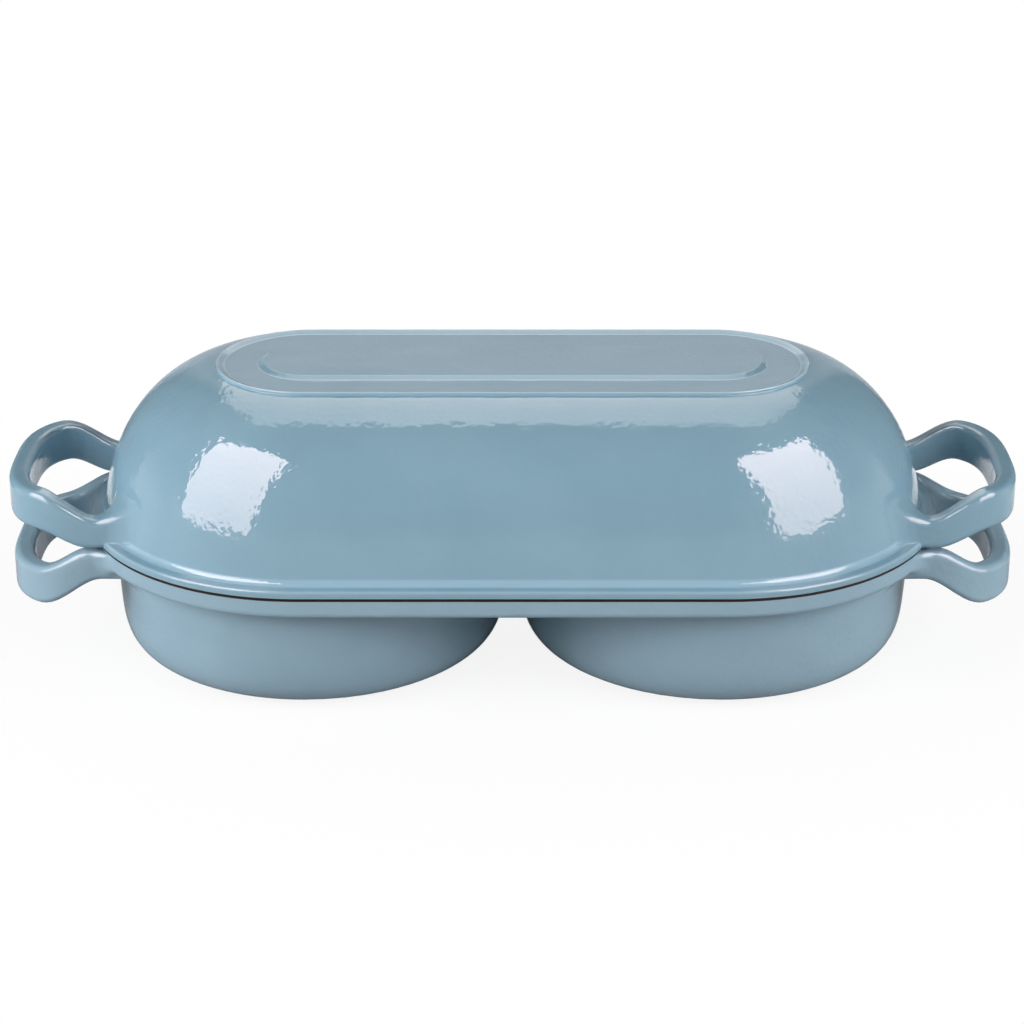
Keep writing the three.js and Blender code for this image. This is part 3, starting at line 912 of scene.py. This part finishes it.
# %% [markdown]
# ## The floor
#
# The oven stands on a white table, as in a plain product picture. A sheet of one white would catch
# uneven light and go grey at its far edge. So the table keeps some paint near the oven, for the
# shadow, and fades into an even white glow further out, along an oval because the oven is long.
# Light that bounces meets a greyer paint, or the table would flood the pan from below.

# %% The floor
FLOOR_HALF, FLOOR_DROP = 6.0, 0.0002
PAINT, BOUNCE, PAINT_ROUGHNESS, PAINT_SHEEN = 0.9, 0.35, 0.6, 0.1
OVAL, FADE, GLOW_NEAR = (0.5, 1, 1), (0.11, 0.34), 0.88


def surface_of(material):
    """The socket that takes a material's last shader."""
    return material.node_tree.nodes["Material Output"].inputs["Surface"]


def plain_floor():
    """A flat sheet just under table height. Its shader mixes paint with a glow of strength 1. Fade
    goes smoothly from 0 to 1 with the distance from the middle, X counting half. Reflections see
    that share of glow, the camera GLOW_NEAR plus the rest times fade, and other rays none."""
    corners = FLOOR_HALF * np.array([(-1, -1), (1, -1), (1, 1), (-1, 1)])
    mesh = bpy.data.meshes.new("floor")
    mesh.from_pydata(np.column_stack([corners, np.full(4, -FLOOR_DROP)]), [], [(0, 1, 2, 3)])
    sheet = placed("floor", mesh)
    material, wiring, shader = finish_named("white_table")
    shader.inputs["Roughness"].default_value = PAINT_ROUGHNESS
    shader.inputs["Specular IOR Level"].default_value = PAINT_SHEEN
    oval = wiring.add("Mapping", vector_type="POINT", Scale=OVAL)
    reach = wiring.add("VectorMath", operation="LENGTH")
    wiring.link(wiring.add("TexCoord").outputs["Object"], oval.inputs["Vector"])
    wiring.link(oval.outputs["Vector"], reach.inputs[0])
    fade = wiring.ramp(reach.outputs["Value"], FADE, interpolation_type="SMOOTHSTEP")
    ray = wiring.add("LightPath").outputs
    paint = wiring.blend(ray["Is Camera Ray"], (*[BOUNCE] * 3, 1), (*[PAINT] * 3, 1))
    wiring.link(paint, shader.inputs["Base Color"])
    mirrored = wiring.maths("MAXIMUM", ray["Is Glossy Ray"], ray["Is Transmission Ray"])
    lifted = wiring.ramp(fade, levels=(GLOW_NEAR, 1))
    share = wiring.maths("MULTIPLY_ADD", ray["Is Camera Ray"], lifted,
                         wiring.maths("MULTIPLY", mirrored, fade))
    glow, mix = wiring.add("Emission", Strength=1.0), wiring.add("MixShader")
    wiring.link(share, mix.inputs["Fac"])
    wiring.link(shader.outputs["BSDF"], mix.inputs[1])
    wiring.link(glow.outputs["Emission"], mix.inputs[2])
    wiring.link(mix.outputs["Shader"], surface_of(material))
    mesh.materials.append(material)
    return sheet


print("floor:", plain_floor().name)

# %% [markdown]
# ## The lamps
#
# Gloss shows the lamps, so their shape and place matter as much as their strength. One lamp could
# serve for all, but in Cycles it can also be hidden from one kind of ray. So there are two sets:
# windows and a screen, which only reflections see, and lights and panels, which only light the
# surfaces. The windows can then be bright without washing the colour out. Two tall ones in front
# give the bright patches on the dome. One behind and above lays the pale band along the shoulder. A
# real softbox isn't even, so the windows' brightness changes across the face.

# %% The lamps
AIM_HEIGHT, AWAY, SMALL_FACE = 0.1, 1.6, (1.0, 0.8)
WINDOW_TINT, PANEL_TINT, SCREEN_TINT = (1.0, 0.83, 0.84), (1.0, 0.94, 0.94), (0.95, 1.0, 1.06)


def soft_lamp(name, only, azimuth, elevation, brightness, size=SMALL_FACE, distance=AWAY, swivel=0,
              tint=(1, 1, 1)):
    """A rectangular area lamp that faces the oven's middle, or is swivelled from that about the
    upright. Azimuth counts from the front, to the right. Watts are pi times the area times the
    brightness of its face."""
    lamp = bpy.data.lights.new(name, "AREA")
    lamp.shape, (lamp.size, lamp.size_y) = "RECTANGLE", size
    lamp.energy = np.pi * size[0] * size[1] * brightness
    holder = placed(name, lamp)
    turn, rise = np.radians(azimuth), np.radians(elevation)
    way = np.array([np.sin(turn) * np.cos(rise), -np.cos(turn) * np.cos(rise), np.sin(rise)])
    holder.location = way * distance + (0, 0, AIM_HEIGHT)
    holder.rotation_euler = (np.pi / 2 - rise, 0, turn + np.radians(swivel))
    holder.visible_camera = False
    holder.visible_diffuse, holder.visible_glossy = only == "light", only == "gloss"
    lamp.cycles.use_multiple_importance_sampling = only == "gloss"
    lamp.color = tint
    return lamp


def shade_face(lamp, axis, origin, far, levels):
    """Brightness over a lamp's face: levels[0] at a place on one axis of the face, which runs from
    0 to 1, and evenly to levels[1] at a distance far from it."""
    lamp.use_nodes = True
    wiring = Wiring(lamp.node_tree)
    parts = wiring.add("SeparateXYZ")
    wiring.link(wiring.add("NewGeometry").outputs["Parametric"], parts.inputs[0])
    away = wiring.maths("ABSOLUTE", wiring.maths("SUBTRACT", parts.outputs[axis], origin))
    strength = lamp.node_tree.nodes["Emission"].inputs["Strength"]
    wiring.link(wiring.ramp(away, (0, far), levels), strength)


for side, hand, light, panel in (("left", -1, 7.9, 6.9), ("right", 1, 7.1, 4.0)):
    window = soft_lamp(side + "_window", "gloss", azimuth=57 * hand, elevation=34, brightness=10.9,
                       size=(1.23, 1.58), swivel=-11 * hand, tint=WINDOW_TINT)
    shade_face(window, "Y", origin=0.0, far=1.0, levels=(0.66, 1.12))
    soft_lamp(side + "_light", "light", azimuth=55 * hand, elevation=27, brightness=light)
    soft_lamp(side + "_panel", "light", azimuth=85 * hand, elevation=4, brightness=panel,
              tint=PANEL_TINT)
above = soft_lamp("back_window", "gloss", azimuth=180, elevation=56, brightness=3.0,
                  size=(1.4, 1.44), distance=1.5)
shade_face(above, "X", origin=0.5, far=0.5, levels=(1.05, 0.6))
soft_lamp("back_light", "light", azimuth=180, elevation=5, brightness=3.2, size=(1.6, 0.8))
soft_lamp("back_screen", "gloss", azimuth=180, elevation=14, brightness=0.60, size=(1.4, 0.9),
          tint=SCREEN_TINT)

# %% [markdown]
# ## A grey card behind
#
# At its ends the dome turns away from us, and gloss seen at a glancing angle is almost a mirror. A
# mirror of a white room would be white, and the dome's edge would be lost on the background. We
# could darken the room, but a card behind the oven does it for the edge alone. Ours is a curved
# sheet that only reflections see. Its middle is as pale as the screen, its taller ends dark grey.

# %% A grey card behind
CARD_DISTANCE, CARD_SPREAD, CARD_STEPS = 0.46, 80, 80
CARD_LOW, CARD_TALL, CARD_RISE = 0.25, 0.5, (20, 45)
CARD_LIMITS, CARD_LEVELS = (0.28, 0.31), (0.62, 0.12)


def grey_card():
    """Distance times (sin, cos) of an angle that goes from -spread to spread about straight behind.
    Its top eases from low to tall between the two angles of its rise. Its glow goes from one level
    to the other as X, either way, passes the limits."""
    angle = np.linspace(-CARD_SPREAD, CARD_SPREAD, CARD_STEPS + 1)[:, None]
    share = ease((np.abs(angle) - CARD_RISE[0]) / (CARD_RISE[1] - CARD_RISE[0]))
    top = CARD_LOW + (CARD_TALL - CARD_LOW) * share
    x, y = CARD_DISTANCE * np.sin(np.radians(angle)), CARD_DISTANCE * np.cos(np.radians(angle))
    place = np.stack(np.broadcast_arrays(x, y, top * np.array([0.0, 1.0])), axis=-1)
    mesh = bpy.data.meshes.new("grey_card")
    mesh.from_pydata(place.reshape(-1, 3), [], joined(place))
    card = placed("grey_card", mesh)
    card.visible_camera = card.visible_diffuse = card.visible_shadow = False
    material, wiring, _ = finish_named("grey_card")
    parts = wiring.add("SeparateXYZ")
    wiring.link(wiring.add("TexCoord").outputs["Object"], parts.inputs[0])
    aside = wiring.maths("ABSOLUTE", parts.outputs["X"])
    glow = wiring.add("Emission", Color=(*SCREEN_TINT, 1))
    wiring.link(wiring.ramp(aside, CARD_LIMITS, CARD_LEVELS), glow.inputs["Strength"])
    wiring.link(glow.outputs["Emission"], surface_of(material))
    mesh.materials.append(material)
    return card


print("card faces:", len(grey_card().data.polygons))

# %% [markdown]
# ## The room
#
# Behind the table stands a white screen, and above it the studio is dim. Seen directly or in the
# gloss, the screen is plain white, with a strength of 1. As a light the room is much weaker and
# only fills the shadows. A picture of a studio could light the scene too, but plain levels are
# easier to set.

# %% The room
FILL, CEILING, SCREEN_EDGE = 0.05, 0.4, (0.1, 0.3)

world = bpy.data.worlds.new("white_room")
bpy.context.scene.world = world
world.use_nodes = True
backdrop = world.node_tree.nodes["Background"]
backdrop.inputs["Color"].default_value = (1, 1, 1, 1)
wiring = Wiring(world.node_tree)
direction = wiring.add("SeparateXYZ")
wiring.link(wiring.add("TexCoord").outputs["Generated"], direction.inputs[0])
seen = wiring.ramp(direction.outputs["Z"], SCREEN_EDGE, (1.0, CEILING))
lit = wiring.ramp(wiring.add("LightPath").outputs["Is Diffuse Ray"], levels=(seen, FILL))
wiring.link(lit, backdrop.inputs["Strength"])
print("room fills the shadows with a strength of", FILL)

# %% [markdown]
# ## Camera
#
# We look from in front and a little above, from far enough away that long edges hardly converge.
# The camera could be turned to bring the oven to its place in the frame, but that would change how
# its lines run. The shift slides the frame instead, as a view camera does.

# %% Camera
PITCH = 22.4

lens = bpy.data.cameras.new("camera")
lens.sensor_width, lens.lens = 36, 96.15
lens.shift_x, lens.shift_y = -0.0006, -0.0397
camera = placed("camera", lens)
camera.location = (0, -1.2944, 0.6227)
camera.rotation_euler = (np.radians(90 - PITCH), 0, 0)
bpy.context.scene.camera = camera
bpy.context.scene.view_settings.view_transform = "Standard"
print("camera at", tuple(camera.location))

# %% [markdown]
# ## The two boxes
#
# The drawn castings must fill the same box as the solids.
